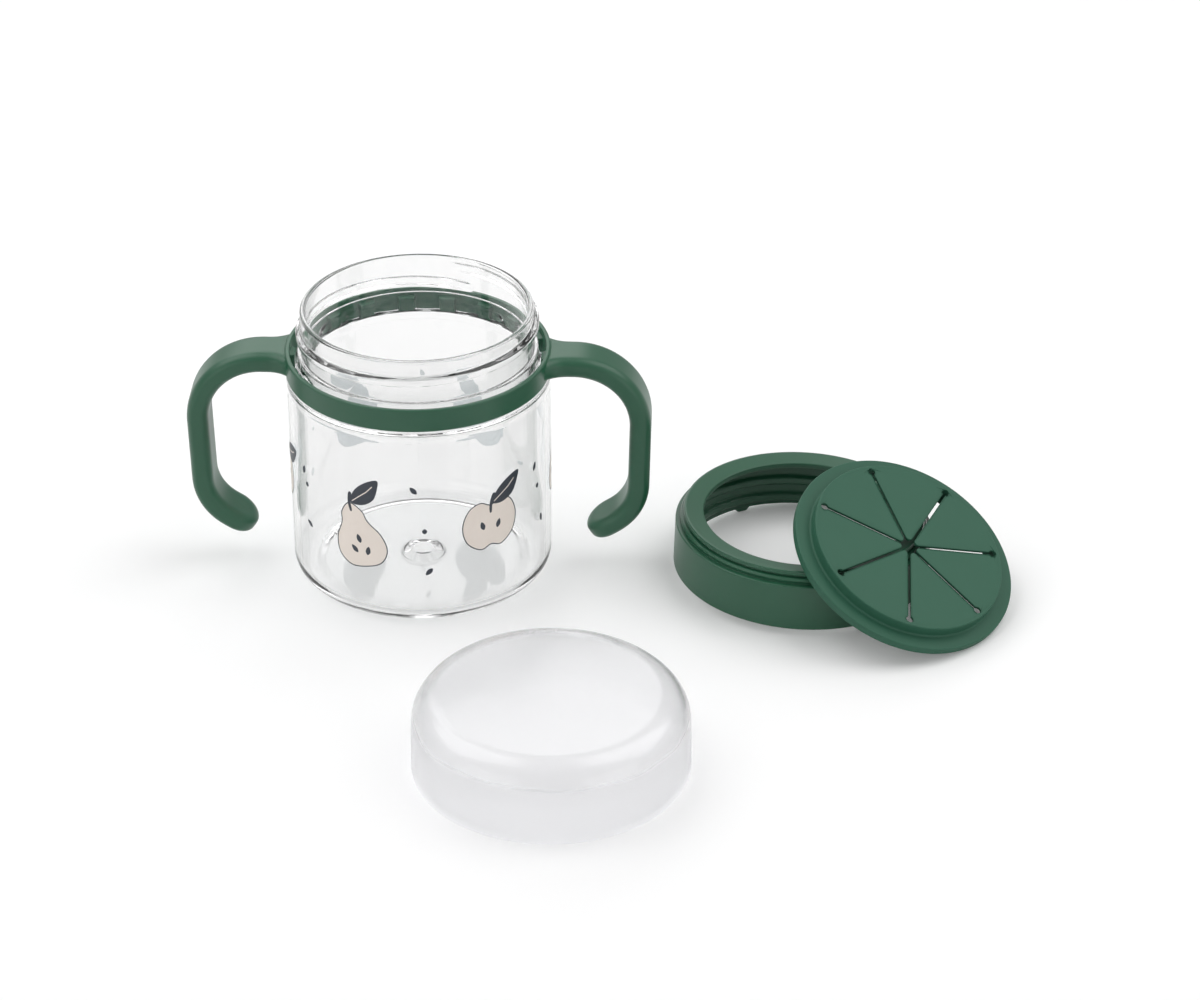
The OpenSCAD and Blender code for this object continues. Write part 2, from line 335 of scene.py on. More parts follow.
def piece_of(name, grids, finishes, place=Matrix(), crease=50, finish_of=None):
    """One welded, closed piece. finish_of gives each grid's place in the list of finishes."""
    mesh = bpy.data.meshes.new(name)
    points = np.concatenate([grid.reshape(-1, 3) for grid in grids])
    mesh.from_pydata(points.tolist(), [], quads(grids))
    for finish in finishes:
        mesh.materials.append(finish)
    if finish_of:
        counts = [(grid.shape[0] - 1) * (grid.shape[1] - 1) for grid in grids]
        mesh.polygons.foreach_set("material_index", np.repeat(finish_of, counts).tolist())
    shell = bmesh.new()
    shell.from_mesh(mesh)
    bmesh.ops.remove_doubles(shell, verts=shell.verts, dist=WELD_MM)
    bmesh.ops.recalc_face_normals(shell, faces=shell.faces)
    open_edges = sum(not edge.is_manifold for edge in shell.edges)
    shell.to_mesh(mesh)
    shell.free()
    mesh.transform(Matrix.Scale(0.001, 4) @ place)
    mesh.shade_smooth()
    mesh.set_sharp_from_angle(angle=math.radians(crease))
    piece = add(bpy.data.objects.new(name, mesh))
    piece.modifiers.new("even_shading", "WEIGHTED_NORMAL").keep_sharp = True
    print(f"{name}: {len(mesh.polygons)} faces, {open_edges} open edges")
    return piece


# %% [markdown]
# A half outline is written as corners, each with the radius of its round. The function below turns each
# corner into an arc, and works on complex numbers because turning a point is then one multiplication.

# %% Round an outline's corners
ARC_STEP = math.radians(11)


def unit(number):
    """The number as a direction, of length 1."""
    return number / abs(number)


def rounded(corners, closed=False):
    """Points (r, z) along a line of corners (r, z, radius)."""
    points = []
    for i, (r, z, radius) in enumerate(corners):
        here = complex(r, z)
        at_end = not closed and i in (0, len(corners) - 1)
        if radius == 0 or at_end:
            points.append(here)
            continue
        before = unit(complex(*corners[i - 1][:2]) - here)
        after = unit(complex(*corners[(i + 1) % len(corners)][:2]) - here)
        between = cmath.phase(after / before)
        half = abs(between) / 2
        centre = here + unit(before + after) * radius / math.sin(half)
        start = here + before * radius / math.tan(half) - centre
        turn = -math.copysign(math.pi - 2 * half, between)
        steps = max(3, math.ceil(abs(turn) / ARC_STEP))
        points += [centre + start * cmath.exp(1j * turn * k / steps) for k in range(steps + 1)]
    return [(point.real, point.imag) for point in points]


def divided(outline, gap, wanted):
    """The outline with its stretches for which wanted(r, z) is true cut finer than gap."""
    points = [outline[0]]
    for (r0, z0), (r1, z1) in zip(outline, outline[1:]):
        pieces = 1
        if wanted((r0 + r1) / 2, (z0 + z1) / 2):
            pieces = max(1, math.ceil(math.hypot(r1 - r0, z1 - z0) / gap))
        points += [(r0 + (r1 - r0) * k / pieces, z0 + (z1 - z0) * k / pieces) for k in range(1, pieces + 1)]
    return points


def turned(outline, angles, shape=None):
    """The grid of an outline turned about Z. shape(r, z, angle) adds to r."""
    r, z = np.array(outline).T
    angle = np.append(angles, angles[0] + 2 * math.pi)
    r, z, angle = np.broadcast_arrays(r[:, None], z[:, None], angle[None, :])
    if shape:
        r = r + shape(r, z, angle)
    return np.stack([r * np.cos(angle), r * np.sin(angle), z], -1)


def evenly(count):
    """That many angles, evenly round a circle."""
    return np.linspace(0, 2 * math.pi, count, endpoint=False)


# %% [markdown]
# ## What the cup, the ring and the collar share
#
# The ring has eighteen teeth that stand between eighteen lugs on the cup's neck, and the collar screws
# onto the neck. These shapes are added to a turned wall as a height: a value from 0 to 1 that depends on
# the angle and the height on the wall. It could be done with booleans, but a height keeps the skin whole,
# and its flanks can be as soft as moulded ones are. The columns crowd where a tooth has its sides.

# %% Lay out the teeth and the screw thread
BODY_R = 40.0
WALL_R = BODY_R - 0.1
SHOULDER = 67.0
CUP_H = 87.79
NECK_R = 35.05
BAND_R = 36.3
TOOTH_COUNT = 18
TOOTH_PITCH = 360 / TOOTH_COUNT
TOOTH_ANGLE = 8.0
TOOTH_SIDE = 0.7
RING_TURN = -1.7
THREAD_LEAD = 6.0
THREAD_FADE = 0.05
CREST_W = 1.8
FINE_GAP = 0.3
ROUND_COLUMNS = 216


def soft_step(x):
    """0 below 0 and 1 above 1, with a smooth rise between."""
    x = np.clip(x, 0, 1)
    return x * x * (3 - 2 * x)


def columns_round(turn):
    """Angles that crowd at the sides of a tooth whose middle is at turn degrees."""
    side, half = TOOTH_ANGLE / 2, TOOTH_SIDE / 2
    near = [0, 1.3, 2.4, side - half, side, side + half, 5.6, 6.8, 8.4]
    one = [-d for d in near[:0:-1]] + near + [TOOTH_PITCH / 2]
    return np.radians([turn + tooth * TOOTH_PITCH + d for tooth in range(TOOTH_COUNT) for d in one])


def teeth(angle, turn, side=TOOTH_SIDE):
    """1 on a tooth and 0 between two, with flanks that many degrees wide."""
    away = (np.degrees(angle) - turn + TOOTH_PITCH / 2) % TOOTH_PITCH - TOOTH_PITCH / 2
    return soft_step((TOOTH_ANGLE / 2 - np.abs(away)) / side + 0.5)


def screw(z, angle, start, top_z, turns, foot_w):
    """1 on the crest of a ridge that falls clockwise, seen from above, from start degrees."""
    height = 0 * z
    once = ((start - np.degrees(angle)) % 360) / 360
    for t in (once, once + 1):
        end = np.clip(np.minimum(t, turns - t) / THREAD_FADE, 0, 1)
        away = np.abs(z - (top_z - THREAD_LEAD * t))
        height = np.maximum(height, end * soft_step((foot_w / 2 - away) / ((foot_w - CREST_W) / 2)))
    return height


print("columns round the neck:", len(columns_round(0)))

# %% [markdown]
# ## The cup
#
# One closed skin, from the middle of the underside out and up, over the lip and down inside to the middle
# of the floor. The underside is pushed up a little so that the cup stands on a rim, and the plastic came
# in through a dimple in the middle. The neck's outside is finely divided, because it carries the lugs and
# the thread. The wall stands a tenth of a millimetre inside the construction model's, to leave room for ink.

# %% Turn the cup
FLOOR = 2.5
BOSS_TOP = FLOOR + 1.9
DIMPLE_TOP = 2.5
PUSH_UP = 0.8
FOOT_ROUND = 5.4
BAND_TOP = SHOULDER + 7.5
LIP_ROUND = 0.85
NECK_IN_R = 33.3
BAND_IN_R = 34.3
BAND_IN_TOP = 69.8
BODY_IN_R = 38.2
BODY_IN_TOP = 64.9
cup_outline = rounded([
    (0, DIMPLE_TOP, 0), (3.1, DIMPLE_TOP, 0.5), (5.6, PUSH_UP, 0.8), (30, PUSH_UP, 3), (33, 0, 2),
    (WALL_R, 0, FOOT_ROUND), (WALL_R, SHOULDER, 0.8), (BAND_R, SHOULDER, 0.3), (BAND_R, BAND_TOP, 0.5),
    (NECK_R, BAND_TOP, 0.4), (NECK_R, CUP_H, LIP_ROUND), (NECK_IN_R, CUP_H, LIP_ROUND),
    (NECK_IN_R, BAND_IN_TOP, 0.25), (BAND_IN_R, BAND_IN_TOP, 0.3), (BAND_IN_R, BODY_IN_TOP, 0.8),
    (BODY_IN_R, BODY_IN_TOP, 3), (BODY_IN_R, FLOOR, 3.6), (7, FLOOR, 1.2), (4.6, BOSS_TOP, 0.7),
    (0, BOSS_TOP, 0),
])
cup_outline = divided(cup_outline, FINE_GAP, lambda r, z: r > NECK_R - 0.2 and z > SHOULDER)

# %% Add the lugs and the thread to the neck
LUG_TOP = SHOULDER + 4.0
LUG_SIDE = 7.0
LUG_FOOT_FADE = 0.3
LUG_TOP_FADE = 3.4
LUG_DEEP = 0.6
RIDGE_HEADING = 77
RIDGE_TOP = CUP_H - 3.7
RIDGE_TURNS = 1.04
RIDGE_W = 3.5
RIDGE_DEEP = 1.5


def neck_shape(r, z, angle):
    """The lugs and the thread, on the outside of the neck only."""
    across = teeth(angle, RING_TURN + TOOTH_PITCH / 2, LUG_SIDE)
    above_foot = soft_step((z - SHOULDER) / LUG_FOOT_FADE)
    below_top = soft_step((LUG_TOP - z) / LUG_TOP_FADE + 0.5)
    ridge = screw(z, angle, RIDGE_HEADING, RIDGE_TOP, RIDGE_TURNS, RIDGE_W)
    on_neck = (r > NECK_R - 0.3) & (r < BAND_R + 0.35)
    return np.where(on_neck, LUG_DEEP * across * above_foot * below_top + RIDGE_DEEP * ridge, 0)


cup_grid = turned(cup_outline, columns_round(RING_TURN + TOOTH_PITCH / 2), neck_shape)
cup = piece_of("cup_shell", [cup_grid], [CLEAR], crease=ROUND_CREASE)
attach(cup, "cup")
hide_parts("cup")

# %% [markdown]
# ## The ring and its handles
#
# The ring is turned like the cup, with its teeth on the inside. A handle is a flat strip with rounded
# edges, bent down beside the cup and hooked back, and it ends like a spoon. It is drawn flat first: its
# plan, from the flare at the ring to the round tip, and how far each layer of its rounded edge draws in.
# Then a function bends that flat shape along the handle's line.

# %% Turn the ring
RING_Z = SHOULDER + 0.1
RING_TOP = RING_Z + 7.2
RING_IN = 38.6
TOOTH_TOP = RING_Z + 4.7
TOOTH_TOP_FADE = 0.35
TOOTH_DEEP = 1.4
ring_outline = rounded(
    [(RING_IN, RING_Z, 0), (BODY_R, RING_Z, 0.3), (BODY_R, RING_TOP, 0.6), (RING_IN, RING_TOP, 0.3)],
    closed=True,
)
ring_outline = divided(ring_outline + ring_outline[:1], FINE_GAP, lambda r, z: r < RING_IN + 0.01)


def ring_shape(r, z, angle):
    """The teeth, on the inside of the ring only."""
    tall = soft_step((TOOTH_TOP - z) / TOOTH_TOP_FADE + 0.5)
    return np.where(r < RING_IN + 0.01, -TOOTH_DEEP * teeth(angle, RING_TURN) * tall, 0)


ring_grid = turned(ring_outline, columns_round(RING_TURN), ring_shape)

# %% Draw a handle flat
GRIP_W = 14.7
GRIP_T = 6.6
GRIP_ROUND_UP = 2.5
GRIP_ROUND_IN = 3.2
GRIP_Z = RING_Z + GRIP_T / 2 + 0.1
FLARE_R = 8.0
FLARE_SINK = 0.25
RUN_OUT = 47.1
BEND_R = 20.2
BEND = math.radians(91.2)
DROP = 20.4
HOOK_R = 16.3
HOOK = math.radians(55.7)
HOOK_RUN = 1.9
TIP_START = RUN_OUT + BEND_R * BEND + DROP + HOOK_R * HOOK + HOOK_RUN


def handle_plan():
    """Points (along, across) of one side, and which way is out there, from the ring to the tip."""
    centre_y = GRIP_W / 2 + FLARE_R
    centre_x = math.sqrt((BODY_R - FLARE_SINK + FLARE_R) ** 2 - centre_y ** 2)
    sweep = np.linspace(math.pi + math.atan2(centre_y, centre_x), 1.5 * math.pi, 12)
    flare = np.stack([centre_x + FLARE_R * np.cos(sweep), centre_y + FLARE_R * np.sin(sweep)], -1)
    flare_out = -np.stack([np.cos(sweep), np.sin(sweep)], -1)
    along = np.linspace(centre_x, TIP_START, 62)[1:-1]
    side = np.stack([along, np.full_like(along, GRIP_W / 2)], -1)
    side_out = np.tile([0.0, 1.0], (len(along), 1))
    fan = np.linspace(math.pi / 2, 0, 14)
    tip_out = np.stack([np.cos(fan), np.sin(fan)], -1)
    tip = [TIP_START, 0] + GRIP_W / 2 * tip_out
    return np.concatenate([flare, side, tip]), np.concatenate([flare_out, side_out, tip_out])


def bent(along, across, up):
    """Where a point of the flat handle goes once the handle is bent."""
    steps = [
        (RUN_OUT, 0), (BEND_R * BEND, 1 / BEND_R), (DROP, 0), (HOOK_R * HOOK, 1 / HOOK_R), (math.inf, 0),
    ]
    x, z, heading = np.zeros_like(along), np.full_like(along, GRIP_Z), np.zeros_like(along)
    left = along.copy()
    for length, curve in steps:
        done = np.clip(left, 0, length)
        if curve:
            x = x + (np.sin(heading + done * curve) - np.sin(heading)) / curve
            z = z + (np.cos(heading + done * curve) - np.cos(heading)) / curve
            heading = heading + done * curve
        else:
            x = x + done * np.cos(heading)
            z = z - done * np.sin(heading)
        left = left - done
    return np.stack([x + up * np.sin(heading), across, z + up * np.cos(heading)], -1)


# %% [markdown]
# A handle's root is sunk into the ring, so that a boolean can join the two, but it must stay clear of the
# ring's bore. Its end is curved like the ring, and its top and underside are rows from edge to edge.

# %% Make the two handles and join them to the ring
ROOT_R = 39.3
ROOT_LEAST_R = 39.0


def handle_grids():
    """The four sides of a handle and its root, as grids."""
    plan, out = handle_plan()
    lean = np.radians(np.concatenate([np.linspace(90, 0, 9), np.linspace(0, -90, 9)]))
    up = np.sign(lean) * (GRIP_T / 2 - GRIP_ROUND_UP) + GRIP_ROUND_UP * np.sin(lean)
    drawn_in = GRIP_ROUND_IN * (1 - np.cos(lean))
    edge = plan[None] - drawn_in[:, None, None] * out[None]
    edge = edge * np.maximum(ROOT_LEAST_R / np.linalg.norm(edge, axis=-1, keepdims=True), 1)
    height = np.broadcast_to(up[:, None], edge.shape[:2])
    left = bent(edge[..., 0], edge[..., 1], height)
    right = bent(edge[..., 0], -edge[..., 1], height)

    def across(points, level):
        """Rows of points from one edge to the other, the first of them curved like the ring."""
        share = np.linspace(1, -1, 9)
        along, half = points[:, :1], points[:, 1:]
        y = half * share
        fade = np.clip(1 - np.arange(len(points)) / 11, 0, 1)[:, None]
        round_ring = np.sqrt(ROOT_R ** 2 - y ** 2) - np.sqrt(np.maximum(ROOT_R ** 2 - half ** 2, 0))
        return bent(along + fade * round_ring, y, np.full_like(y, level))

    top, bottom = across(edge[0], up[0]), across(edge[-1], up[-1])
    root = np.stack([across(row[:1], level)[0] for row, level in zip(edge, up)])
    return [left, right, top, bottom, root]


def turned_by(grids, degrees):
    """The grids, turned about the cup's axis."""
    spin = np.array(Matrix.Rotation(math.radians(degrees), 3, "Z"))
    return [grid @ spin.T for grid in grids]


def united(main, *others):
    """Main joined with the others into one skin, by boolean."""
    for other in others:
        union = main.modifiers.new("union", "BOOLEAN")
        union.operation = "UNION"
        union.solver = "EXACT"
        union.object = other
    main.modifiers.move(0, len(main.modifiers) - 1)
    even = main.modifiers[-1]
    even.show_viewport = False
    whole = bpy.data.meshes.new_from_object(main.evaluated_get(bpy.context.evaluated_depsgraph_get()))
    even.show_viewport = True
    for union in [each for each in main.modifiers if each.type == "BOOLEAN"]:
        main.modifiers.remove(union)
    main.data = whole
    for other in others:
        bpy.data.objects.remove(other)
    print(f"{main.name}: {len(whole.polygons)} faces once joined")


ring = piece_of("handle_ring_skin", [ring_grid], [GREEN])
handles = [
    piece_of(f"handle_{side}", turned_by(handle_grids(), RING_TURN + side), [GREEN])
    for side in (0, 180)
]
united(ring, *handles)
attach(ring, "handles")
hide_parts("handle_ring")

# %% [markdown]
# ## The collar
#
# The collar lies on the table, so it is modelled upright about its own axis and then placed: it leans a
# little, because two lugs under its skirt hold one side up. Its top is a shallow dish round the opening,
# with a bead below it that the dust cover snaps over. Inside is the thread that fits the cup's.

# %% Turn the collar
COLLAR_PLACE = (117.1, -5.9)
COLLAR_HEADING = 207.1
CLICK_H = 1.3
SKIRT_R = BODY_R - 0.6
BORE_R = NECK_R + 1.65
SKIRT_H = 15.0
COLLAR_H = SKIRT_H + 3.8
COLLAR_NECK_R = 37.75
BEAD_R = 38.05
GROOVE_R = 36.45
SEAT_R = 35.7
SEAT_TOP = 16.2
SEAT_FOOT = 13.0
OPENING_R = 30.8
collar_lean = math.atan(CLICK_H / SKIRT_R)
place_collar = (
    Matrix.Translation((*COLLAR_PLACE, SKIRT_R * math.sin(collar_lean)))
    @ Matrix.Rotation(math.radians(COLLAR_HEADING), 4, "Z")
    @ Matrix.Rotation(-collar_lean, 4, "Y")
)
collar_outline = rounded(
    [
        (BORE_R, 0, 0.25), (SKIRT_R, 0, 0.5), (SKIRT_R, SKIRT_H, 0.45), (COLLAR_NECK_R, SKIRT_H, 0.15),
        (COLLAR_NECK_R, 15.5, 0.1), (BEAD_R, 16.1, 0.4), (37.6, 16.8, 0.2), (GROOVE_R, 16.9, 0.2),
        (GROOVE_R, 17.3, 0.1), (37.25, 17.65, 0.25), (36.9, 18.1, 0.15), (36.9, COLLAR_H, 0.35),
        (36.2, COLLAR_H, 0.35), (OPENING_R, COLLAR_H - 0.9, 0.5), (OPENING_R, SEAT_TOP, 0.4),
        (SEAT_R, SEAT_TOP, 0.3), (SEAT_R, SEAT_FOOT, 0.2), (BORE_R, SEAT_FOOT, 0.2),
    ],
    closed=True,
)
collar_outline = divided(collar_outline + collar_outline[:1], FINE_GAP, lambda r, z: abs(r - BORE_R) < 0.02)
BORE_RIDGE_HEADING = 147
BORE_RIDGE_TOP = 9.8
BORE_RIDGE_TURNS = 1.25
BORE_RIDGE_W = 3.6
BORE_RIDGE_DEEP = 1.3


def bore_shape(r, z, angle):
    """The thread, on the wall of the bore only."""
    ridge = screw(
        z, angle, BORE_RIDGE_HEADING - COLLAR_HEADING, BORE_RIDGE_TOP, BORE_RIDGE_TURNS, BORE_RIDGE_W
    )
    return np.where(abs(r - BORE_R) < 0.02, -BORE_RIDGE_DEEP * ridge, 0)


collar_grid = turned(collar_outline, evenly(ROUND_COLUMNS), bore_shape)

# %% [markdown]
# The two lugs under the skirt are short curved posts with round ends that grow narrower downwards. When
# the collar is screwed home they click into the gaps between the ring's teeth. Each is a stack of outlines,
# and is joined to the collar.

# %% Add the click lugs
CLICK_R = 37.5
CLICK_W = 1.4
CLICK_TOP_HALF = 2.1
CLICK_FOOT_HALF = 0.9
CLICK_ROUND = 0.4
CLICK_SINK = 0.8


def click_ring(heading, z, straight, width):
    """The outline of a lug at one height: a curved slot that long on each side, and that wide."""
    fan = np.linspace(-math.pi / 2, math.pi / 2, 9)
    along = straight + width / 2 * np.cos(fan)
    along = np.concatenate([along, -along[::-1], along[:1]])
    out = width / 2 * np.sin(fan)
    r = CLICK_R + np.concatenate([out, out[::-1], out[:1]])
    angle = heading + along / CLICK_R
    return np.stack([r * np.cos(angle), r * np.sin(angle), np.full(len(r), z)], -1)


def click_lug(heading):
    """A lug as one grid of outlines, with a soft lower edge, buried at its top in the skirt."""
    lean = np.linspace(0, math.pi / 2, 5)
    heights = [CLICK_SINK, 0.0, *(CLICK_ROUND * (1 - np.sin(lean)) - CLICK_H)]
    widths = [CLICK_W, CLICK_W, *(CLICK_W - 2 * CLICK_ROUND * (1 - np.cos(lean)))]
    straights = np.interp(heights, [-CLICK_H, 0], [CLICK_FOOT_HALF, CLICK_TOP_HALF])
    rings = [click_ring(heading, *each) for each in zip(heights, straights, widths)]
    top, foot = (np.broadcast_to(ring[:-1].mean(0), ring.shape) for ring in (rings[0], rings[-1]))
    return [np.stack([top, *rings, foot])]


collar = piece_of("screw_collar", [collar_grid], [GREEN], place_collar)
lugs = [
    piece_of(f"click_lug_{side}", click_lug(math.radians(side)), [GREEN], place_collar)
    for side in (-90, 90)
]
united(collar, *lugs)
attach(collar, "collar")
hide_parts("collar")

# %% [markdown]
# ## The slit lid
#
# The lid is one soft moulding: a thick rim that the collar clamps, and a thin plate cut into seven flaps.
# Each slit ends in a round hole, which stops it from tearing on. The rim is turned. Each flap is a grid
# of its own that reaches from the middle of the plate to the rim, and its rows stand close together along
# the line between its two holes, where the real flap bends. A bend in thin rubber is not a hinge: it
# spreads over a few millimetres.

# %% Turn the lid's rim
PLATE_R = 30.6
FLANGE_R = 35.47
PLATE_RISE = 3.7
LID_T = 6.5
SKIN_T = 0.9
HOLLOW_R = PLATE_R - 1.3
SKIN_EDGE_R = 29.6
RIM_COLUMNS = 196
LID_CENTRE = (148.2, -29.25, 21.93)
LID_TILT = 27.4
LID_HEADING = -42.1
place_lid = (
    Matrix.Translation(LID_CENTRE)
    @ Matrix.Rotation(math.radians(LID_HEADING), 4, "Z")
    @ Matrix.Rotation(math.radians(LID_TILT), 4, "Y")
)
rim_outline = rounded(
    [
        (SKIN_EDGE_R, 0, 0), (PLATE_R, 0, 0.35), (PLATE_R, -PLATE_RISE, 0.7), (FLANGE_R, -PLATE_RISE, 0.35),
        (FLANGE_R, -LID_T, 0.7), (HOLLOW_R, -LID_T, 0.4), (HOLLOW_R, -SKIN_T, 0), (SKIN_EDGE_R, -SKIN_T, 0),
    ],
    closed=True,
)
rim_grid = turned(rim_outline + rim_outline[:1], evenly(RIM_COLUMNS))
rim = piece_of("lid_rim", [rim_grid], [SILICONE], place_lid)
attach(rim, "lid")
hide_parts("insert_rim")

# %% Cut one flap
FLAP_COUNT = 7
FLAP_HALF = math.pi / FLAP_COUNT
SLIT_HEADING = 158.2
SLIT_HALF_W = 0.45
SLIT_END_R = PLATE_R - 2.25
HOLE_R = 1.15
HINGE_R = SLIT_END_R * math.cos(FLAP_HALF)
TIP_ROUND = 1.2
CUT_ROUND = 0.2
ROW_GAP = 1.4


def flap_half_width(x):
    """Half the flap's width at a distance x from the lid's centre, along the flap's middle line."""
    side = x * np.tan(FLAP_HALF) - SLIT_HALF_W / np.cos(FLAP_HALF)
    tip_x = (SLIT_HALF_W + TIP_ROUND) / np.sin(FLAP_HALF)
    touch_x = tip_x - TIP_ROUND * np.sin(FLAP_HALF)
    tip = np.sqrt(np.maximum(TIP_ROUND ** 2 - (x - tip_x) ** 2, 0))
    width = np.where(x < touch_x, tip, side)
    hole_x, hole_y = HINGE_R, SLIT_END_R * np.sin(FLAP_HALF)
    beside = np.abs(x - hole_x) < HOLE_R
    under = hole_y - np.sqrt(np.maximum(HOLE_R ** 2 - (x - hole_x) ** 2, 0))
    width = np.where(beside, np.minimum(width, under), width)
    past = x > hole_x + HOLE_R
    rim_reach = np.sqrt(np.maximum(SKIN_EDGE_R ** 2 - x ** 2, 0))
    return np.where(past, np.minimum(x * np.tan(FLAP_HALF), rim_reach), width)


def flap_grids():
    """Top, underside and edge of a flap, with a hair of a round along its cut edges."""
    tip_x = (SLIT_HALF_W + TIP_ROUND) / math.sin(FLAP_HALF) - TIP_ROUND
    x = np.concatenate([
        tip_x + TIP_ROUND * (1 - np.cos(np.linspace(0, math.pi / 2, 7))),
        np.linspace(tip_x + ROW_GAP, HINGE_R - ROW_GAP, 18),
        HINGE_R + HOLE_R * np.sin(np.linspace(-math.pi / 2, math.pi / 2, 13)),
        [HINGE_R + HOLE_R + 0.02],
        SKIN_EDGE_R * np.cos(np.linspace(FLAP_HALF - 0.006, 0, 12)),
    ])
    half = flap_half_width(x)[:, None]
    lip = np.maximum(half - CUT_ROUND * (1 - np.sin(np.radians([0, 20, 45, 90]))), 0)
    inner = np.maximum(half - CUT_ROUND, 0) * np.linspace(0.75, -0.75, 7)
    across = np.concatenate([lip, inner, -lip[:, ::-1]], 1)
    to_edge = np.clip((half - np.abs(across)) / CUT_ROUND, 0, 1)
    cut = x[:, None] < HINGE_R + HOLE_R + 0.01
    drop = np.where(cut, CUT_ROUND * (1 - np.sqrt(1 - (1 - to_edge) ** 2)), 0)
    along = np.broadcast_to(x[:, None], across.shape)
    top = np.stack([along, across, -drop], -1)
    under = np.stack([along, across, drop - SKIN_T], -1)
    return [top, under, np.stack([top[:, 0], under[:, 0]]), np.stack([top[:, -1], under[:, -1]])]


# %% Lay the seven flaps in the lid
def lay_flap(number):
    """Makes a flap in its place, and hides the construction model's flap."""
    place = place_lid @ Matrix.Rotation(math.radians(SLIT_HEADING) - (2 * number - 1) * FLAP_HALF, 4, "Z")
    flap = piece_of(f"lid_flap_{number}", flap_grids(), [SILICONE], place)
    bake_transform(flap)
    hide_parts(f"flap_{number}")


for number in range(1, FLAP_COUNT + 1):
    lay_flap(number)

# %% [markdown]
# ## The dust cover
#
# A plain dome with soft shoulders and a bead inside its mouth, which snaps over the collar. One turned
# skin again, from the middle of the top out and down, round the mouth and back up inside.

# %% Turn the dust cover
COVER_PLACE = (41.2, -110.8)
COVER_R = 40.0
COVER_H = 23.7
COVER_WALL = 1.25
COVER_ROUND = 9.3
COVER_DRAFT = 0.6
SNAP_DEEP = 0.35
SNAP_Z = 1.4
mouth_r = COVER_R - COVER_WALL
cover_outline = rounded([
    (0, COVER_H, 0), (COVER_R - COVER_DRAFT, COVER_H, COVER_ROUND), (COVER_R, 0, 0.45),
    (mouth_r, 0, 0.4), (mouth_r - SNAP_DEEP, SNAP_Z, 1.2), (mouth_r, 3.2, 2.0),
    (mouth_r - COVER_DRAFT, COVER_H - COVER_WALL, COVER_ROUND - COVER_WALL),
    (0, COVER_H - COVER_WALL, 0),
])
cover_grid = turned(cover_outline, evenly(ROUND_COLUMNS))
place_cover = Matrix.Translation((*COVER_PLACE, 0))
cover = piece_of("dust_cover", [cover_grid], [MILKY], place_cover, crease=ROUND_CREASE)
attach(cover, "cover")
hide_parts("cover")

# %% [markdown]
# ## The print on the cup
#
# The cup is screen printed in two inks, a warm beige and a dark slate, over a pale grey backing that
# shows from inside. The design here is a plain one: pears and apples with dark leaves, and seeds between
# them. Each motif is drawn flat in millimetres, as a smooth closed line, filled with shrinking copies
# of itself, and wrapped round the wall as a film as thin as ink. The backing glows a little by emission,
# a painted glow that stands in for light coming through it, and the films throw no shadow, because real
# ink lets much of a lamp's light pass.

# %% Mix the inks
def ink(name, colour, worn, painted_glow=0):
    finish = Finish(name)
    mottle = finish.cloud(1.5, 3)
    return finish.show(finish.node("BsdfPrincipled", {}, {
        "Base Color": finish.mix(mottle, colour, worn),
        "Roughness": 0.38 + 0.1 * mottle,
        "Emission Color": colour,
        "Emission Strength": painted_glow,
        "Normal": finish.relief(mottle, 0.004, 0.4),
    }))


BEIGE = ink("beige_ink", rgb(234, 223, 213), rgb(238, 228, 219))
SLATE = ink("slate_ink", rgb(44, 50, 60), rgb(50, 57, 67))
# The backing's emission is a painted glow, which stands in for light that comes through it.
BACKING = ink("backing_ink", rgb(238, 243, 245), rgb(242, 246, 248), 0.22)
print("inks:", BEIGE.name, SLATE.name, BACKING.name)

# %% Draw smooth lines and films
FILM_MM = 0.02
BACK_LIFT = 0.1
SAME_MM = 1e-6


def smooth_loop(points, steps=6):
    """A closed curve through the points."""
    p = np.array(points, float)
    before, after, far = np.roll(p, 1, 0), np.roll(p, -1, 0), np.roll(p, -2, 0)
    t = (np.arange(steps) / steps)[None, :, None]
    curve = 0.5 * (
        2 * p[:, None]
        + (after - before)[:, None] * t
        + (2 * before - 5 * p + 4 * after - far)[:, None] * t ** 2
        + (3 * p - before - 3 * after + far)[:, None] * t ** 3
    )
    return curve.reshape(-1, 2)


def mirrored(half):
    """A loop from its right half, drawn from the bottom to the top on the axis."""
    return half + [(-x, y) for x, y in half[-2:0:-1]]


def filled(loop, rings=6):
    """A grid that fills a loop with shrinking copies of it."""
    middle = loop.mean(0)
    closed = np.concatenate([loop, loop[:1]])
    return np.stack([middle + (closed - middle) * (1 - k / rings) for k in range(rings + 1)])


def line(loop, width, closed=True):
    """A grid that follows a loop, or an open path, as a drawn line."""
    path = np.concatenate([loop, loop[:1]]) if closed else loop
    ahead = np.gradient(path, axis=0)
    if closed:
        ahead[0] = ahead[-1] = path[1] - path[-2]
    ahead /= np.linalg.norm(ahead, axis=1)[:, None]
    out = np.stack([-ahead[:, 1], ahead[:, 0]], -1) * width / 2
    return np.stack([path - out, path + out])


def wrapped(grid, heading, height, lean, layer):
    """A flat grid wrapped on the cup's wall: its ink face, its back and its edges."""
    c, s = math.cos(lean), math.sin(lean)
    flat = grid @ np.array([[c, s], [-s, c]])
    angle = math.radians(heading) + flat[..., 0] / WALL_R
    faces = []
    for lift in (layer + 1, layer + BACK_LIFT):
        r = WALL_R + FILM_MM * lift
        faces.append(np.stack([r * np.cos(angle), r * np.sin(angle), height + flat[..., 1]], -1))
    face, back = faces
    filled_in = np.ptp(grid[-1], axis=0).max() < SAME_MM
    goes_round = np.abs(grid[:, 0] - grid[:, -1]).max() < SAME_MM
    rims = [np.stack([face[i], back[i]]) for i in ([0] if filled_in else [0, -1])]
    rims += [np.stack([face[:, i], back[:, i]]) for i in ([] if goes_round else [0, -1])]
    return [face, back, *rims]


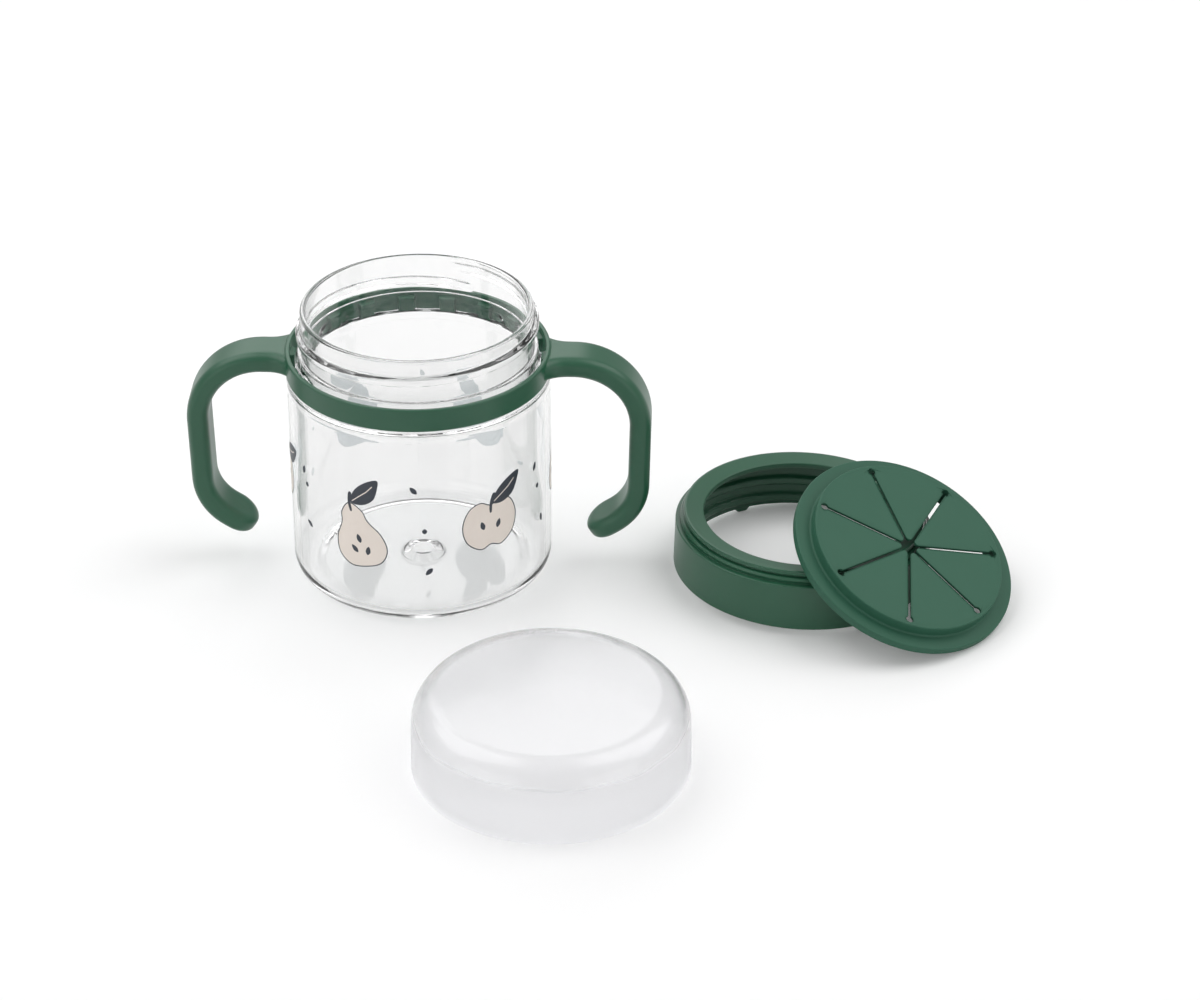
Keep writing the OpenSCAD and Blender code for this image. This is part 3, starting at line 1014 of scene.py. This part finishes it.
# %% Draw the motifs
PEAR = smooth_loop(mirrored(
    [(0, -11.2), (5.2, -10.4), (8.2, -6.4), (7.6, -1), (4.6, 3.8), (3.5, 7.6), (0, 10.4)]
))
APPLE = smooth_loop(mirrored(
    [(0, -8.2), (3.6, -9.2), (8, -6), (9.4, -0.4), (7.4, 5), (3.6, 6.9), (0, 5.4)]
))
LEAF = smooth_loop(
    [(0, 0), (2.8, 2.4), (3.9, 6.6), (2.2, 10.6), (0.2, 12.8), (-1.5, 9.8), (-2.2, 5.6), (-1.5, 2)]
)
SEED = smooth_loop([(0, 0), (0.75, 1), (0.6, 2.2), (0, 3), (-0.6, 2.2), (-0.75, 1)])
DOT = smooth_loop([(0.8, 0), (0, 0.9), (-0.8, 0), (0, -0.9)])
STEM = smooth_loop([(0.3, -2.2), (0.6, 0.6), (1.7, 3.6), (0.7, 3.9), (-0.4, 0.8), (-0.4, -2.2)])
VEIN = np.array([(0, 0.8), (0.3, 4), (0.7, 7), (0.6, 10)])
LINE_W = 0.34
VEIN_W = 0.3
ON_FRUIT = 1.5
ON_LEAF = 3


def fruit(shape, top, leaf_lean, seeds):
    """A fruit's parts: (grid, x, y, lean, ink, layer)."""
    leaf_x, leaf_y = 0.6, top + 0.6
    return [
        (filled(shape), 0, 0, 0, BEIGE, 0),
        (line(shape, LINE_W), 0, 0, 0, SLATE, ON_FRUIT),
        (filled(STEM, 3), 0, top, 0, SLATE, ON_LEAF),
        (filled(LEAF), leaf_x, leaf_y, leaf_lean, SLATE, ON_FRUIT),
        (line(VEIN, VEIN_W, closed=False), leaf_x, leaf_y, leaf_lean, BEIGE, ON_LEAF),
        *[(filled(SEED, 3), x, y, lean, SLATE, ON_FRUIT) for x, y, lean in seeds],
    ]


PEAR_SEEDS = [(-1.6, -6.4, 0.5), (1.4, -7.4, -0.4), (0.2, -3.2, 0.1)]
APPLE_SEEDS = [(-2.4, -2.6, 0.3), (2.2, -3.2, -0.3)]
MOTIFS = [fruit(PEAR, 10, -1.0, PEAR_SEEDS), fruit(APPLE, 5.2, -0.9, APPLE_SEEDS)]


# %% Print the cup
def print_sheet(name, wanted, layout):
    """All films of one ink, as one piece."""
    grids, sides = [], []
    for parts, heading, height, lean in layout:
        for grid, x, y, turn, colour, layer in parts:
            if colour is not wanted:
                continue
            c, s = math.cos(turn), math.sin(turn)
            placed = grid @ np.array([[c, s], [-s, c]]) + [x, y]
            films = wrapped(placed, heading, height, lean, layer)
            grids += films
            sides += [0, 1] + [0] * (len(films) - 2)
    sheet = piece_of(name, grids, [wanted, BACKING], crease=80, finish_of=sides)
    sheet.visible_shadow = False
    sheet.visible_diffuse = False
    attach(sheet, "cup")


SPRINKLE = [(filled(SEED, 3), 0, 0, 0, SLATE, 0)]
SPOT = [(filled(DOT, 3), 0, 0, 0, SLATE, 0)]
FRUIT_COUNT = 6
FIRST_HEADING = -116
layout = []
for k in range(FRUIT_COUNT):
    heading = FIRST_HEADING + k * 360 / FRUIT_COUNT
    layout.append((MOTIFS[k % 2], heading, 33 + 3 * (k % 3 - 1), math.radians(14 * (1 - k % 3))))
    layout.append((SPRINKLE, heading + 27, 46 - 4 * (k % 2), 0.7 - k % 2))
    layout.append((SPRINKLE, heading + 33, 20 + 5 * (k % 2), 2.4 + k))
    layout.append((SPOT, heading + 30, 33 + 3 * (k % 3), 0))
print_sheet("print_beige", BEIGE, layout)
print_sheet("print_slate", SLATE, layout)

# %% [markdown]
# ## Table, lamps and room
#
# The photograph is a pack shot on a white table. One large soft lamp stands behind and to the left, two
# hang high at the sides with a gap between them overhead, and two paler ones stand low in front. The
# lamps stay at a plain level, at which a colour comes out about as it is written. The room is brighter
# for rays that mirror it or pass through plastic, which gives the clear pieces their white lines. White
# comes from the table's own colour for rays that look at it, so that the shadows stay.

# %% Lay the table
TABLE_PLACE = (0.07, -0.03, -0.0002)
PAPER_GLOW = 0.11
FADE_START = 0.30
FADE_END = 0.75


def table_finish():
    """Matt paper that glows faintly for rays that look at it, and fades to plain white far out."""
    finish = Finish("table")
    place = finish.node("TexCoord").out("Object")
    away = finish.node("VectorMath", {"operation": "LENGTH"}, {0: place}).out("Value")
    path = finish.node("LightPath")
    looked_at = (path + path.out("Is Glossy Ray") + path.out("Is Transmission Ray")).clamped()
    paper = finish.node("BsdfDiffuse", {}, {"Color": rgb(235, 235, 235)})
    glow = finish.node("Emission", {}, {"Color": rgb(255, 255, 255), "Strength": PAPER_GLOW * looked_at})
    sheet = finish.node("AddShader", {}, {0: paper, 1: glow})
    white = finish.node("Emission", {}, {"Color": rgb(255, 255, 255), "Strength": 1.0})
    fade = ((away - FADE_START) * (1 / (FADE_END - FADE_START))).clamped()
    fade = fade * (path + path.out("Is Transmission Ray")).clamped()
    return finish.show(finish.node("MixShader", {}, {0: fade, 1: sheet, 2: white}))


table_outline = [(r, 0) for r in (0, 200, 500, 1000, 3000)]
table = piece_of("table", [turned(table_outline, evenly(96))], [table_finish()])
table.location = TABLE_PLACE


# %% Hang the lamps
AIM = (0.05, 0, 0.05)


def lamp(name, place, size, level):
    """A soft box that faces the pieces, whose face has that level, where 1 is white."""
    data = bpy.data.lights.new(name, "AREA")
    data.shape = "RECTANGLE"
    data.size, data.size_y = size
    data.energy = level * math.pi * size[0] * size[1]
    box = add(bpy.data.objects.new(name, data))
    box.location = place
    box.rotation_euler = (Vector(AIM) - Vector(place)).to_track_quat("-Z", "Y").to_euler()
    print(f"{name}: level {level}")


lamp("lamp_behind", (-0.35, 1.35, 0.95), (1.3, 1.0), 1.55)
lamp("lamp_high_left", (-0.7, 0.2, 1.15), (1.0, 1.2), 1.95)
lamp("lamp_high_right", (0.8, 0.2, 1.15), (1.0, 1.2), 1.95)
lamp("lamp_front_left", (-0.9, -0.95, 0.45), (1.0, 0.8), 1.1)
lamp("lamp_front_right", (1.0, -0.95, 0.45), (1.0, 0.8), 1.1)

# %% Paint the room
ROOM_LEVEL = 0.42
MIRRORED_LEVEL = 0.55
THROUGH_LEVEL = 0.95
room = Finish("room", bpy.data.worlds.new("room"))
seen = room.node("LightPath")
through = seen.out("Transmission Depth").clamped()
mirrored_in = seen.out("Is Glossy Ray") * (1 - through)
straight = (1 - seen.out("Diffuse Depth")).clamped()
more = (MIRRORED_LEVEL - ROOM_LEVEL) * mirrored_in + (THROUGH_LEVEL - ROOM_LEVEL) * through
level = ROOM_LEVEL + more * straight + (1 - ROOM_LEVEL) * seen
wall = room.node("Background", {}, {"Color": rgb(255, 255, 255), "Strength": level})
room.node("OutputWorld", {}, {"Surface": wall})
bpy.context.scene.world = room.owner
print("room level:", ROOM_LEVEL)
